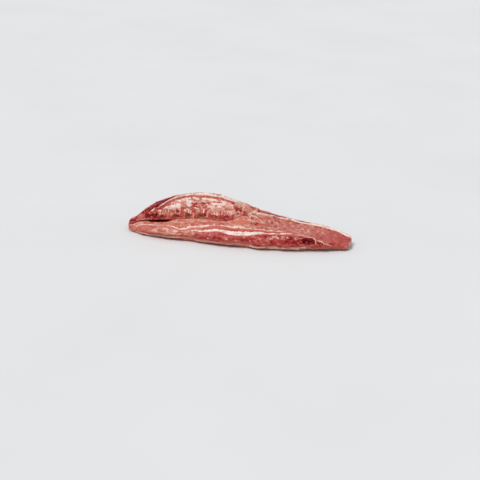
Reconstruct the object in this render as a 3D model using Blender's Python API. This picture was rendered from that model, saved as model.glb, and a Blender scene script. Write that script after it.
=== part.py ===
"""A raw rack of pork spare ribs, folded over along its length with the bone side in.

The rack is a loft along X. Sixteen guide lines run from the left end to the right end, and each
cross-section is a smooth curve through them: from the lower edge of the sawn face into the slit between
the two layers, round the hollow of the fold and out again, over the flap that lies in front, round its
nose, along the flat underside, up the rounded back and forward to the upper edge of the sawn face.
Towards the right end the fold opens, and the rack thins to a single flap with a raised back rim. Rib
bones of oval section run back into the meat from the sawn face.

Metres, +Z up, X along the rack, the sawn face towards -Y, the origin under the middle of the rack.
"""

import math

import bmesh
import bpy
import numpy as np
from mathutils import Vector, noise

LENGTH = 0.445  # end to end
STATIONS = 80  # cross-sections between the two rounded ends
END_RADIUS = 0.009  # how far both ends are rounded over
END_NARROW = 0.84  # width of the last cross-section, against the one that the rounding starts from
END_FLATTEN = 0.55  # height of the last cross-section, in the same way
END_LEVEL = 0.8  # height that it shrinks towards, against the middle of the section
END_RINGS = 5
CORNER_DROP = 0.016  # how far the corners of both ends fall back, seen from above
CORNER_REACH = 0.060  # length of the rack over which they do

# Guide lines: (station, y, z), with station 0 at the left end and 1 at the right end.
FACE_TOP = (
    (0, -0.036, 0.014), (0.06, -0.033, 0.0375), (0.13, -0.026, 0.0585), (0.22, -0.018, 0.077),
    (0.33, -0.014, 0.085), (0.41, -0.01, 0.0825), (0.5, 0.001, 0.069), (0.6, 0.017, 0.0505),
    (0.7, 0.031, 0.0355), (0.81, 0.034, 0.0315), (0.92, 0.03, 0.0252), (0.97, 0.024, 0.0208),
    (1, 0.019, 0.0165),
)
FACE_BOTTOM = (
    (0, -0.045, 0.0095), (0.06, -0.043, 0.023), (0.17, -0.036, 0.0275), (0.25, -0.035, 0.0335),
    (0.34, -0.034, 0.0385), (0.42, -0.034, 0.0385), (0.46, -0.033, 0.0405), (0.52, -0.016, 0.0475),
    (0.6, 0.008, 0.0455), (0.7, 0.025, 0.0315), (0.81, 0.029, 0.028), (0.92, 0.0245, 0.0225),
    (1, 0.012, 0.014),
)
FLAP_EDGE = (
    (0, -0.05, 0.0095), (0.06, -0.064, 0.018), (0.2, -0.072, 0.025), (0.35, -0.073, 0.028),
    (0.5, -0.073, 0.03), (0.65, -0.069, 0.029), (0.76, -0.058, 0.027), (0.86, -0.043, 0.022),
    (0.94, -0.032, 0.0165), (1, -0.02, 0.0125),
)
NOSE = (
    (0, -0.055, 0.006), (0.06, -0.07, 0.0105), (0.2, -0.079, 0.014), (0.5, -0.08, 0.016),
    (0.65, -0.076, 0.016), (0.76, -0.065, 0.015), (0.86, -0.049, 0.013), (0.94, -0.038, 0.011),
    (1, -0.025, 0.0085),
)
BACK = (
    (0, 0.018, 0.006), (0.06, 0.043, 0.013), (0.13, 0.058, 0.021), (0.22, 0.071, 0.029),
    (0.35, 0.08, 0.034), (0.5, 0.076, 0.03), (0.6, 0.069, 0.025), (0.7, 0.062, 0.019),
    (0.81, 0.055, 0.014), (0.94, 0.042, 0.0095), (1, 0.028, 0.0075),
)
# The front and back edge of the underside, which lies flat on z = 0: (station, y).
BASE_FRONT = (
    (0, -0.045), (0.1, -0.062), (0.35, -0.066), (0.6, -0.064), (0.76, -0.05), (0.86, -0.03),
    (1, -0.014),
)
BASE_BACK = (
    (0, 0.008), (0.06, 0.03), (0.2, 0.052), (0.35, 0.06), (0.5, 0.058), (0.65, 0.051),
    (0.81, 0.042), (1, 0.018),
)
# Sizes that change along the rack: (station, size).
BACK_BULGE = (
    (0, 0.001), (0.1, 0.003), (0.2, 0.007), (0.35, 0.01), (0.45, 0.005), (0.6, 0.002), (0.8, 0.003),
    (1, 0.001),
)
SLIT_DEPTH = (
    (0, 0.01), (0.04, 0.026), (0.1, 0.05), (0.2, 0.072), (0.35, 0.084), (0.46, 0.072), (0.54, 0.03),
    (0.59, 0.009), (0.65, 0.0025), (1, 0.0015),
)
SLIT_GAP = ((0, 0.0015), (0.05, 0.003), (0.5, 0.003), (0.6, 0.0018), (0.66, 0.0008), (1, 0.0006))
FOLD_HOLLOW = (
    (0, 0.001), (0.1, 0.005), (0.35, 0.009), (0.5, 0.006), (0.6, 0.0015), (0.66, 0.0004), (1, 0.0003),
)
SLIT_FALL = 0.10  # drop of the slit towards the fold, against its depth
FACE_CROWN = 0.0015  # how far the sawn face bulges at mid height
# Slow waves that keep the long edges from running true.
EDGE_WAVE_Y = 0.0016
EDGE_WAVE_Z = 0.0009

# Steps of the cross-section between one guide line and the next, starting at the face's bottom edge.
GUIDES = (
    "face_bottom", "slit_roof", "hollow_roof", "slit_end", "hollow_floor", "slit_floor", "contact", "flap",
    "flap_edge", "nose", "base_front", "base", "base_back", "back", "shoulder", "face_top",
)
STEPS = (3, 2, 2, 2, 2, 3, 4, 4, 2, 2, 2, 2, 3, 4, 5)
FACE_STEPS = 6

RIB_COUNT = 7
RIB_FIRST_X = -0.1785
RIB_PITCH = 0.0260
RIB_HALF_WIDTH = 0.0060
RIB_HALF_HEIGHT = 0.0040
RIB_ABOVE_SLIT = 0.0052  # from the slit's roof to the rib's centre line
RIB_REACH = 0.80  # length inside the meat, against the slit's depth
RIB_STANDS_PROUD = 0.0008
RIB_GAP = 0.0004  # clearance of a rib in its hole
RIB_ARCH = 0.003  # how far a rib's middle stands above its two ends
HOLE_OVERRUN = 0.004  # how far a rib's hole is cut past the sawn face
RIB_TAPER = 0.25  # how much slimmer a rib is at its inner end
RIB_SIDES = 12
RIB_RINGS = 9

LUMP_SIZE = 0.045
LUMP_HEIGHT = 0.0028
NOISE_SHIFT = Vector((7.3, 1.9, 4.1))
RIB_SWELL = 0.0007
SEAM_HEIGHT = 0.0010
POCKET_X = 0.145
POCKET_DEPTH = 0.006
STRIP_HEIGHT = 0.0025

MEAT = ((0.47, 0.16, 0.14), 0.42)
BONE = ((0.42, 0.26, 0.16), 0.55)


def smooth(pairs, station, column=1):
    """The value at each station of a smooth curve through the pairs, without overshoot."""
    table = np.array(pairs, float)
    at, value = table[:, 0], table[:, column]
    slope = np.diff(value) / np.diff(at)
    rising = slope[:-1] * slope[1:] > 0
    middle = np.where(rising, 2 * slope[:-1] * slope[1:] / np.where(rising, slope[:-1] + slope[1:], 1), 0)
    tangent = np.concatenate([slope[:1], middle, slope[-1:]])
    station = np.clip(station, at[0], at[-1])
    i = np.clip(np.searchsorted(at, station, side="right") - 1, 0, len(at) - 2)
    width = at[i + 1] - at[i]
    t = (station - at[i]) / width
    ends = value[i] * (1 + 2 * t) * (1 - t) ** 2 + value[i + 1] * t * t * (3 - 2 * t)
    return ends + width * (tangent[i] * t * (1 - t) ** 2 + tangent[i + 1] * t * t * (t - 1))


def line(pairs, station):
    """The (y, z) of a guide line at each station."""
    return np.stack([smooth(pairs, station, 1), smooth(pairs, station, 2)], -1)


def bump(value, centre, width):
    """1 at the centre, falling to 0 like a bell."""
    return np.exp(-(((value - centre) / width) ** 2))


def ramp(value, low, high):
    """0 below low, 1 above high and an S between."""
    t = np.clip((value - low) / (high - low), 0, 1)
    return t * t * (3 - 2 * t)


def edge_wave(station, phase):
    """A slow uneven wave in y and z along one edge, fading out at both ends."""
    slow = np.sin(2 * math.pi * (3.1 * station + phase))
    quick = np.sin(2 * math.pi * (7.7 * station + 2.3 * phase))
    fade = np.sin(math.pi * station)
    sideways = EDGE_WAVE_Y * fade * (slow + 0.5 * quick)
    upward = EDGE_WAVE_Z * fade * (quick - 0.5 * slow)
    return np.stack([sideways, upward], -1)


def guide_points(station):
    """The (y, z) of all the guide lines at each station, in the order of GUIDES."""
    face_bottom = line(FACE_BOTTOM, station)
    face_top = line(FACE_TOP, station) + 0.5 * edge_wave(station, 0.1)
    flap_edge = line(FLAP_EDGE, station) + edge_wave(station, 0.35)
    nose = line(NOSE, station) + edge_wave(station, 0.4)
    back = line(BACK, station) + edge_wave(station, 0.7)
    depth, gap, hollow = (smooth(pairs, station) for pairs in (SLIT_DEPTH, SLIT_GAP, FOLD_HOLLOW))
    level = np.zeros_like(station)

    def from_face(share, rise):
        return face_bottom + np.stack([depth * share, rise - SLIT_FALL * depth * share**2], -1)

    contact = face_bottom - np.stack([gap * 0.3 + 0.0005, gap], -1)
    base_front = np.stack([smooth(BASE_FRONT, station), level], -1)
    base_back = np.stack([smooth(BASE_BACK, station), level], -1)
    bulge = np.stack([level, smooth(BACK_BULGE, station)], -1)
    return np.array([
        face_bottom,
        from_face(0.45, depth * 0.03),
        from_face(0.85, hollow * 0.55),
        from_face(1.0, -hollow * 0.25 - gap * 0.5),
        from_face(0.85, -hollow * 0.9 - gap),
        from_face(0.45, -gap),
        contact,
        (contact + flap_edge) / 2 + [0, 0.0012],
        flap_edge,
        nose,
        base_front,
        (base_front + base_back) / 2,
        base_back,
        back,
        face_top * 0.45 + back * 0.55 + bulge,
        face_top,
    ])


def spline(points, steps):
    """A centripetal Catmull-Rom curve through the points, at all the stations at once."""
    points = np.concatenate([[2 * points[0] - points[1]], points, [2 * points[-1] - points[-2]]])
    knots = np.maximum(np.linalg.norm(np.diff(points, axis=0), axis=-1), 1e-6) ** 0.5

    def mix(a, b, from_knot, to_knot, at):
        share = ((at - from_knot) / (to_knot - from_knot))[:, None]
        return a * (1 - share) + b * share

    curve = []
    for i, count in enumerate(steps):
        a, b, c, d = points[i : i + 4]
        k1 = knots[i]
        k2 = k1 + knots[i + 1]
        k3 = k2 + knots[i + 2]
        k0 = np.zeros_like(k1)
        for step in range(count):
            at = k1 + (k2 - k1) * step / count
            ab, bc, cd = mix(a, b, k0, k1, at), mix(b, c, k1, k2, at), mix(c, d, k2, k3, at)
            curve.append(mix(mix(ab, bc, k0, k2, at), mix(bc, cd, k1, k3, at), k1, k2, at))
    return np.array(curve + [points[-2]])


def cross_sections(station):
    """Points [station, way, xyz] of the smooth rack, and each point's way: guide number and fraction."""
    guides = guide_points(station)
    top, bottom = guides[-1], guides[0]
    height = np.linalg.norm(top - bottom, axis=-1)[:, None]
    outward = np.stack([bottom[:, 1] - top[:, 1], top[:, 0] - bottom[:, 0]], -1) / height
    crown = FACE_CROWN * np.minimum(1, height / 0.03)
    shares = np.arange(1, FACE_STEPS) / FACE_STEPS
    face = [top * (1 - s) + bottom * s + outward * crown * 4 * s * (1 - s) for s in shares]
    curve = np.concatenate([spline(guides, STEPS), face]).transpose(1, 0, 2)
    curve[..., 1] = np.maximum(curve[..., 1], 0)
    x = np.broadcast_to(((station - 0.5) * LENGTH)[:, None, None], curve.shape[:2] + (1,))
    way = [i + step / count for i, count in enumerate(STEPS) for step in range(count)]
    way += [len(STEPS)] + [len(STEPS) + s for s in shares]
    return np.concatenate([x, curve], -1), np.array(way)


def lumps(points, size, shift=Vector()):
    """Smooth noise at each of the points, from about -1 to 1, with lumps of about that size."""
    return np.array([[noise.noise(Vector(point) / size + shift) for point in ring] for ring in points])


def relief(points, way, station):
    """How far each point stands out from the smooth rack, [station, way]."""
    clear_of_slit = ramp(way, 6, 6.9) * (1 - ramp(way, 15.5, 16))
    clear_of_base = 1 - ramp(way, 9.3, 10) * (1 - ramp(way, 12, 12.7))
    free = clear_of_slit * clear_of_base
    along = station[:, None]
    x = points[..., 0]
    ends = ramp(along, 0, 0.05) * (1 - ramp(along, 0.95, 1))
    thick = ramp(along, 0, 0.12) * (1 - ramp(along, 0.5, 0.62))
    uneven = lumps(points, LUMP_SIZE) + 0.5 * lumps(points, LUMP_SIZE * 0.4, NOISE_SHIFT)
    height = LUMP_HEIGHT * uneven * free * ends
    # Meat swells between the rib ends, on the sawn face and less on the back.
    swell = -np.cos(2 * math.pi * (x - RIB_FIRST_X) / RIB_PITCH)
    height += RIB_SWELL * swell * thick * free * (bump(way, 15.6, 0.25) + 0.5 * bump(way, 14, 0.8))
    # Two seams of fat run along the flap as low ridges, with a groove between them.
    seams = bump(way, 7.25, 0.12) + bump(way, 7.85, 0.12) - 0.6 * bump(way, 7.55, 0.12)
    height += SEAM_HEIGHT * seams * ramp(along, 0.12, 0.25) * (1 - ramp(along, 0.72, 0.85))
    # A pocket under a torn membrane at the flap's edge.
    height -= POCKET_DEPTH * bump(x, POCKET_X, 0.012) * bump(way, 8.25, 0.28)
    # A loose strip of lean on the back, beside the face's top edge at the left end.
    height += STRIP_HEIGHT * bump(way, 14.75, 0.16) * ramp(along, 0.03, 0.08) * (1 - ramp(along, 0.2, 0.27))
    return height


def round_ends(sections):
    """Extra rings past both ends, shrinking like a quarter of an ellipse."""
    rings = list(sections)
    for ring, side in ((sections[0], -1), (sections[-1], 1)):
        core = (ring.min(axis=0) + ring.max(axis=0)) / 2 * [1, 1, END_LEVEL]
        for step in range(1, END_RINGS + 1):
            angle = math.pi / 2 * step / END_RINGS
            narrow = END_NARROW + (1 - END_NARROW) * math.cos(angle)
            flat = END_FLATTEN + (1 - END_FLATTEN) * math.cos(angle)
            shrunk = core + (ring - core) * [1, narrow, flat]
            shrunk[:, 0] += side * END_RADIUS * math.sin(angle)
            if side < 0:
                rings.insert(0, shrunk)
            else:
                rings.append(shrunk)
    return rings


def fall_back(points):
    """The points, moved back near both ends so that the ends have round corners seen from above."""
    points = np.array(points)
    x, y = points[..., 0], points[..., 1]
    station = np.clip(x, END_RADIUS - LENGTH / 2, LENGTH / 2 - END_RADIUS) / LENGTH + 0.5
    front, back = smooth(NOSE, station), smooth(BACK, station)
    off_middle = np.clip((2 * y - front - back) / (back - front), -1, 1)
    near_end = 1 - ramp(LENGTH / 2 - np.abs(x), 0, CORNER_REACH)
    points[..., 0] -= np.sign(x) * CORNER_DROP * off_middle**4 * near_end
    return points


def loft(name, rings):
    """A closed mesh through rings of equal count, with both ends capped."""
    mesh = bmesh.new()
    loops = [[mesh.verts.new(point) for point in ring] for ring in rings]
    for near, far in zip(loops, loops[1:]):
        for i in range(len(near)):
            j = (i + 1) % len(near)
            mesh.faces.new((near[i], near[j], far[j], far[i]))
    mesh.faces.new(loops[0][::-1])
    mesh.faces.new(loops[-1])
    bmesh.ops.recalc_face_normals(mesh, faces=mesh.faces)
    bmesh.ops.triangulate(mesh, faces=mesh.faces)
    data = bpy.data.meshes.new(name)
    mesh.to_mesh(data)
    mesh.free()
    data.shade_smooth()
    return bpy.data.objects.new(name, data)


def make_meat():
    """The meat and fat of the rack, without the rib holes."""
    station = np.linspace(END_RADIUS / LENGTH, 1 - END_RADIUS / LENGTH, STATIONS)
    points, way = cross_sections(station)
    along = np.gradient(points, axis=0)
    around = (np.roll(points, -1, axis=1) - np.roll(points, 1, axis=1)) / 2
    outward = np.cross(around, along)
    outward /= np.maximum(np.linalg.norm(outward, axis=-1, keepdims=True), 1e-9)
    points = points + outward * relief(points, way, station)[..., None]
    points[..., 2] = np.maximum(points[..., 2], 0)
    rings = round_ends(points)
    meat = loft("meat", rings)
    meat.data.vertices.foreach_set("co", fall_back(rings).ravel())
    return meat


def rib_rings(x, clearance=0.0, front=RIB_STANDS_PROUD):
    """Oval rings along one rib, from in front of the sawn face back into the meat."""
    station = np.array([x / LENGTH + 0.5])
    guides = dict(zip(GUIDES, guide_points(station)[:, 0]))
    bottom = guides["face_bottom"]
    up = (guides["face_top"] - bottom) / np.linalg.norm(guides["face_top"] - bottom)
    reach = smooth(SLIT_DEPTH, station)[0] * RIB_REACH
    rise = (guides["hollow_roof"] - bottom)[1] * RIB_REACH / 0.85
    slim = min(1, 0.55 + reach / 0.1)
    share = np.linspace(0, 1, RIB_RINGS)[:, None]
    centres = bottom + up * RIB_ABOVE_SLIT + share * [reach, rise]
    centres[:, 1] += RIB_ARCH * np.sin(math.pi * share[:, 0])
    forward = (centres[0] - centres[1]) / np.linalg.norm(centres[0] - centres[1])
    centres[0] += forward * front
    centres[-1] += [clearance, 0]
    rings = []
    for (y, z), s in zip(centres, share[:, 0]):
        lean = up * (1 - s) + np.array([0, 1]) * s
        lean /= np.linalg.norm(lean)
        size = slim * (1 - RIB_TAPER * s)
        ring = []
        for side in range(RIB_SIDES):
            angle = 2 * math.pi * side / RIB_SIDES
            across = (RIB_HALF_WIDTH * size + clearance) * math.cos(angle)
            raised = (RIB_HALF_HEIGHT * size + clearance) * math.sin(angle)
            ring.append(Vector((x + across, y + lean[0] * raised, z + lean[1] * raised)))
        rings.append(ring)
    return rings


def material(name, colour, roughness):
    made = bpy.data.materials.new(name)
    made.use_nodes = True
    surface = made.node_tree.nodes["Principled BSDF"]
    surface.inputs["Base Color"].default_value = (*colour, 1)
    surface.inputs["Roughness"].default_value = roughness
    return made


def cut(body, cutters):
    """Takes every object of the cutters' collection out of the body."""
    drill = body.modifiers.new("rib holes", "BOOLEAN")
    drill.operation = "DIFFERENCE"
    drill.solver = "EXACT"
    drill.operand_type = "COLLECTION"
    drill.collection = cutters
    weld = body.modifiers.new("close the cut edges", "WELD")
    weld.merge_threshold = 0.00003


def main():
    for old in list(bpy.data.objects):
        bpy.data.objects.remove(old)
    rack = bpy.data.collections.new("pork spare ribs")
    cutters = bpy.data.collections.new("cutters")
    bpy.context.scene.collection.children.link(rack)
    bpy.context.scene.collection.children.link(cutters)

    meat = make_meat()
    meat.data.materials.append(material("meat", *MEAT))
    rack.objects.link(meat)
    bone = material("bone", *BONE)
    for i in range(RIB_COUNT):
        x = RIB_FIRST_X + RIB_PITCH * i
        rib = loft(f"rib_{i + 1}", rib_rings(x))
        rib.data.materials.append(bone)
        rack.objects.link(rib)
        hole = loft(f"rib hole {i + 1}", rib_rings(x, RIB_GAP, HOLE_OVERRUN))
        hole.hide_render = True
        hole.display_type = "WIRE"
        cutters.objects.link(hole)
    cut(meat, cutters)


main()
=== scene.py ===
import math

import bmesh
import bpy
import numpy as np
from mathutils import Euler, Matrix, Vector, noise
from mathutils.bvhtree import BVHTree


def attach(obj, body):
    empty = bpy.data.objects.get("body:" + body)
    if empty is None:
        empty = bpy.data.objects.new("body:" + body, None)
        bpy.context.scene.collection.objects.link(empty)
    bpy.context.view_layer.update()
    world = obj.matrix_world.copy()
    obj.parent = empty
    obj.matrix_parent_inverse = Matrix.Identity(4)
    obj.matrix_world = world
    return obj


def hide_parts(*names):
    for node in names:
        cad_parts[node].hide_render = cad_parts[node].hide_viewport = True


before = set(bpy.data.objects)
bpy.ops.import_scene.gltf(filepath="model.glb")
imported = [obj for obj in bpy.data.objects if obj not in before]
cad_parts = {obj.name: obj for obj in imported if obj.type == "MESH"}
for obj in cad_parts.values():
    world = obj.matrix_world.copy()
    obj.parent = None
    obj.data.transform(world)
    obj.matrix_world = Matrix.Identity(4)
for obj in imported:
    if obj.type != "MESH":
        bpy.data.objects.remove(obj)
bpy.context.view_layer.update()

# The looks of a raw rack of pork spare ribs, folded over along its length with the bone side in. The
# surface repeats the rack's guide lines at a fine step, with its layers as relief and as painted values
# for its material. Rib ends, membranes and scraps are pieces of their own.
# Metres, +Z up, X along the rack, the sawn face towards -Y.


def milli(*rows, toned=False):
    """Rows written in millimetres or in thousandths, as an array. A last column of tones stays plain."""
    units = np.full(len(rows[0]), 0.001)
    if toned:
        units[-1] = 1
    return np.array(rows) * units


# --- The rack's form, as in its solids ---

LENGTH = 0.445
STATIONS = 450
END_RADIUS = 0.009
END_NARROW = 0.84
END_FLATTEN = 0.55
END_LEVEL = 0.8
END_RINGS = 10
CAP_RINGS = 14  # rings on the flat part of each end
CORNER_DROP = 0.016
CORNER_REACH = 0.06

# Guide lines: station, from 0 at the left end to 1000 at the right end, and y, z in millimetres.
FACE_TOP = milli(
    (0, -36, 14), (60, -33, 37.5), (130, -26, 58.5), (220, -18, 77), (330, -14, 85), (410, -10, 82.5),
    (500, 1, 69), (600, 17, 50.5), (700, 31, 35.5), (810, 34, 31.5), (920, 30, 25.2), (970, 24, 20.8),
    (1000, 19, 16.5),
)
FACE_BOTTOM = milli(
    (0, -45, 9.5), (60, -43, 23), (170, -36, 27.5), (250, -35, 33.5), (340, -34, 38.5), (420, -34, 38.5),
    (460, -33, 40.5), (520, -16, 47.5), (600, 8, 45.5), (700, 25, 31.5), (810, 29, 28), (920, 24.5, 22.5),
    (1000, 12, 14),
)
FLAP_EDGE = milli(
    (0, -50, 9.5), (60, -64, 18), (200, -72, 25), (350, -73, 28), (500, -73, 30), (650, -69, 29),
    (760, -58, 27), (860, -43, 22), (940, -32, 16.5), (1000, -20, 12.5),
)
NOSE = milli(
    (0, -55, 6), (60, -70, 10.5), (200, -79, 14), (500, -80, 16), (650, -76, 16), (760, -65, 15),
    (860, -49, 13), (940, -38, 11), (1000, -25, 8.5),
)
BACK = milli(
    (0, 18, 6), (60, 43, 13), (130, 58, 21), (220, 71, 29), (350, 80, 34), (500, 76, 30), (600, 69, 25),
    (700, 62, 19), (810, 55, 14), (940, 42, 9.5), (1000, 28, 7.5),
)
# The front and back edge of the underside, which lies flat on z = 0: station, y.
BASE_FRONT = milli((0, -45), (100, -62), (350, -66), (600, -64), (760, -50), (860, -30), (1000, -14))
BASE_BACK = milli((0, 8), (60, 30), (200, 52), (350, 60), (500, 58), (650, 51), (810, 42), (1000, 18))
# Sizes that change along the rack: station, size. The slit is narrower here than in the solids.
BACK_BULGE = milli((0, 1), (100, 3), (200, 7), (350, 10), (450, 5), (600, 2), (800, 3), (1000, 1))
SLIT_DEPTH = milli(
    (0, 10), (40, 26), (100, 50), (200, 72), (350, 84), (460, 72), (540, 30), (590, 9), (650, 2.5),
    (1000, 1.5),
)
SLIT_GAP = milli((0, 1.2), (50, 2), (120, 2.6), (175, 2.4), (210, 0.4), (1000, 0.3))
FOLD_HOLLOW = milli((0, 1), (100, 5), (350, 9), (500, 6), (600, 1.5), (660, 0.4), (1000, 0.3))
SLIT_FALL = 0.1
FACE_CROWN = 0.0015
EDGE_WAVE_Y = 0.0016
EDGE_WAVE_Z = 0.0009

# Steps of the cross-section between one guide line and the next, starting at the face's bottom edge.
STEPS = (10, 4, 3, 3, 3, 8, 22, 22, 12, 8, 5, 5, 8, 20, 22)
FACE_STEPS = 46

RIB_COUNT = 7
RIB_FIRST_X = -0.1785
RIB_PITCH = 0.026
RIB_HALF_HEIGHT = 0.004
RIB_REACH = 0.8
BONE_HALF_WIDTH = 0.0062  # a rib's sawn end flares past its shaft
BONE_RISE = 0.0048  # of its middle, from the face's bottom edge

LUMP_SIZE = 0.045
LUMP_HEIGHT = 0.0028
NOISE_SHIFT = Vector((7.3, 1.9, 4.1))
GRAIN_FALL = 0.9  # from one octave of noise to the next, as a power
GRAIN_STEP = 2.1  # how much finer each octave is
RIB_SWELL = 0.0007
SEAM_HEIGHT = 0.001
POCKET_X = 0.145
POCKET_DEPTH = 0.006
STRIP_HEIGHT = 0.0025
SLIT_SHUTS = 0.03  # x beyond which the surface runs flat over the slit

# --- The camera and the light ---

CAMERA_PLACE = (0.456, -2.15, 0.806)
CAMERA_TURN = 11.97  # degrees about Z, from looking along +Y towards -X
CAMERA_TILT = 20.38  # degrees downward
CAMERA_ROLL = 2.52
CAMERA_LENS = 87.5
SUN_FROM = (-0.7, -1.0, 1.9)
SUN_SOFTNESS = 28  # degrees
SUN_STRENGTH = 2.1
SKY_COLOUR = (0.95, 0.97, 1.0)
SKY_STRENGTH = 0.6
FLOOR_SIZE = 40


def smooth(table, station, column=1):
    """The value at each station of a smooth curve through the table, without overshoot."""
    at, value = table[:, 0], table[:, column]
    slope = np.diff(value) / np.diff(at)
    rising = slope[:-1] * slope[1:] > 0
    middle = np.where(rising, 2 * slope[:-1] * slope[1:] / np.where(rising, slope[:-1] + slope[1:], 1), 0)
    tangent = np.concatenate([slope[:1], middle, slope[-1:]])
    station = np.clip(station, at[0], at[-1])
    i = np.clip(np.searchsorted(at, station, side="right") - 1, 0, len(at) - 2)
    width = at[i + 1] - at[i]
    t = (station - at[i]) / width
    ends = value[i] * (1 + 2 * t) * (1 - t) ** 2 + value[i + 1] * t * t * (3 - 2 * t)
    return ends + width * (tangent[i] * t * (1 - t) ** 2 + tangent[i + 1] * t * t * (t - 1))


def length(vectors):
    """The length of each vector, with the last axis kept."""
    return np.linalg.norm(vectors, axis=-1, keepdims=True)


def unit(vectors):
    return vectors / np.maximum(length(vectors), 1e-9)


def bump(value, centre, width):
    """1 at the centre, falling to 0 like a bell."""
    return np.exp(-(((value - centre) / width) ** 2))


def ramp(value, low, high):
    """0 below low, 1 above high and an S between."""
    t = np.clip((value - low) / (high - low), 0, 1)
    return t * t * (3 - 2 * t)


def fall(value, low, high):
    """1 below low, 0 above high and an S between."""
    return 1 - ramp(value, low, high)


def band(value, low, high, soft):
    """1 from low to high, fading to 0 over a soft margin outside."""
    return ramp(value, low - soft, low) * fall(value, high, high + soft)


def guide_line(table, station, wave=0.0, phase=0.0):
    """The (y, z) of a guide line at each station. Along an edge it waves unevenly, but not at the ends."""
    slow = np.sin(2 * math.pi * (3.1 * station + phase))
    quick = np.sin(2 * math.pi * (7.7 * station + 2.3 * phase))
    fade = wave * np.sin(math.pi * station)
    sideways = EDGE_WAVE_Y * fade * (slow + 0.5 * quick)
    upward = EDGE_WAVE_Z * fade * (quick - 0.5 * slow)
    return np.stack([smooth(table, station, 1) + sideways, smooth(table, station, 2) + upward], -1)


def guide_points(station):
    """The (y, z) of all the guide lines at each station, from the face's bottom edge round to its top."""
    face_bottom = guide_line(FACE_BOTTOM, station)
    face_top = guide_line(FACE_TOP, station, 0.5, 0.1)
    flap_edge = guide_line(FLAP_EDGE, station, 1.0, 0.35)
    nose = guide_line(NOSE, station, 1.0, 0.4)
    back = guide_line(BACK, station, 1.0, 0.7)
    depth, gap, hollow = (smooth(table, station) for table in (SLIT_DEPTH, SLIT_GAP, FOLD_HOLLOW))
    level = np.zeros_like(station)

    def from_face(share, rise):
        return face_bottom + np.stack([depth * share, rise - SLIT_FALL * depth * share**2], -1)

    contact = face_bottom - np.stack([gap * 0.3 + 0.0005, gap], -1)
    base_front = np.stack([smooth(BASE_FRONT, station), level], -1)
    base_back = np.stack([smooth(BASE_BACK, station), level], -1)
    bulge = np.stack([level, smooth(BACK_BULGE, station)], -1)
    return np.array([
        face_bottom,
        from_face(0.45, depth * 0.03),  # the slit's roof, the fold's hollow and the slit's floor
        from_face(0.85, hollow * 0.55),
        from_face(1, -hollow * 0.25 - gap * 0.5),
        from_face(0.85, -hollow * 0.9 - gap),
        from_face(0.45, -gap),
        contact,
        (contact + flap_edge) / 2 + [0, 0.0012],
        flap_edge,
        nose,
        base_front,
        (base_front + base_back) / 2,
        base_back,
        back,
        face_top * 0.45 + back * 0.55 + bulge,
        face_top,
    ])


def spline(points, steps):
    """A centripetal Catmull-Rom curve through the points, at all the stations at once."""
    points = np.concatenate([[2 * points[0] - points[1]], points, [2 * points[-1] - points[-2]]])
    knots = np.maximum(length(np.diff(points, axis=0))[..., 0], 1e-6) ** 0.5

    def mix(a, b, from_knot, to_knot, at):
        share = ((at - from_knot) / (to_knot - from_knot))[:, None]
        return a * (1 - share) + b * share

    curve = []
    for i, count in enumerate(steps):
        a, b, c, d = points[i : i + 4]
        k1 = knots[i]
        k2 = k1 + knots[i + 1]
        k3 = k2 + knots[i + 2]
        k0 = np.zeros_like(k1)
        for step in range(count):
            at = k1 + (k2 - k1) * step / count
            ab, bc, cd = mix(a, b, k0, k1, at), mix(b, c, k1, k2, at), mix(c, d, k2, k3, at)
            curve.append(mix(mix(ab, bc, k0, k2, at), mix(bc, cd, k1, k3, at), k1, k2, at))
    return np.array(curve + [points[-2]])


def cross_sections(station):
    """Points [station, way, xyz] of the smooth rack, and each point's way: guide number and fraction."""
    guides = guide_points(station)
    top, bottom = guides[-1], guides[0]
    height = length(top - bottom)
    outward = np.stack([bottom[:, 1] - top[:, 1], top[:, 0] - bottom[:, 0]], -1) / height
    crown = FACE_CROWN * np.minimum(1, height / 0.03)
    shares = np.arange(1, FACE_STEPS) / FACE_STEPS
    face = [top * (1 - s) + bottom * s + outward * crown * 4 * s * (1 - s) for s in shares]
    curve = np.concatenate([spline(guides, STEPS), face]).transpose(1, 0, 2)
    curve[..., 1] = np.maximum(curve[..., 1], 0)
    x = np.broadcast_to(((station - 0.5) * LENGTH)[:, None, None], curve.shape[:2] + (1,))
    way = [i + step / count for i, count in enumerate(STEPS) for step in range(count)]
    way += [len(STEPS)] + [len(STEPS) + s for s in shares]
    return np.concatenate([x, curve], -1), np.array(way)


def lumps(points, size, shift=Vector()):
    """Smooth noise at each of the points, from about -1 to 1, with lumps of about that size."""
    return np.array([[noise.noise(Vector(point) / size + shift) for point in ring] for ring in points])


def grain(points, size, seed, octaves=3):
    """Noise of several octaves, about -1 to 1, with features of a size in mm, one or (x, y, z)."""
    shift = Vector((seed * 3.17, seed * 1.43, seed * 2.71))
    flat = (points * 1000 / np.array(size)).reshape(-1, 3)
    values = [noise.fractal(Vector(place) + shift, GRAIN_FALL, GRAIN_STEP, octaves) for place in flat]
    return np.array(values).reshape(points.shape[:-1])


def off_base(way):
    """1 on all that stands free, 0 on the underside."""
    return 1 - ramp(way, 9.3, 10) * fall(way, 12, 12.7)


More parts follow.
